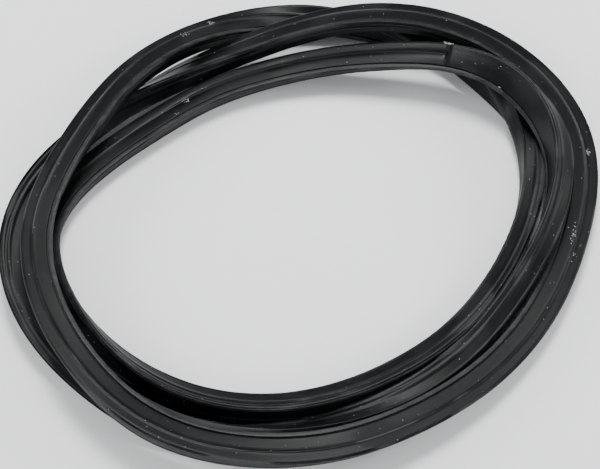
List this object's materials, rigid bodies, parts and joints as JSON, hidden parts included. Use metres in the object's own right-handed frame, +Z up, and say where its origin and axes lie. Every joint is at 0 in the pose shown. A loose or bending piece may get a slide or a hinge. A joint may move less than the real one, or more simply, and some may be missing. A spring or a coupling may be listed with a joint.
{
  "type": "v-belt",
  "caption": "Endless wrapped V-belt, black, classical wedge section, folded into a flat oval coil of overlapping turns.",
  "frame": {"origin": "middle of the coil's box, on the surface it lies on", "axes": "+Z up from that surface; the coil lies flat in XY"},
  "size_m": [0.309, 0.2766, 0.0366],
  "materials": {
    "outer_cover": "semi-gloss black rubberised fabric with scuffs and dust",
    "inner_cover": "rubber-soaked woven ply",
    "cement": "cured cement with pale flash",
    "rubber": "dense black rubber",
    "gum": "soft adhesion rubber",
    "cord": "twisted polyester cord"
  },
  "bodies": {
    "root": {"cover_outer_ply": "outer_cover", "cover_inner_ply": "inner_cover", "cover_lap_strip": "outer_cover", "splice_cement": "cement", "tension_rubber": "rubber", "cushion_gum_upper": "gum", "cushion_gum_lower": "gum", "compression_rubber": "rubber", "tension_cord_1": "cord", "tension_cord_2": "cord", "tension_cord_3": "cord", "tension_cord_4": "cord", "tension_cord_5": "cord", "tension_cord_6": "cord", "tension_cord_7": "cord", "tension_cord_8": "cord"}
  },
  "joints": []
}
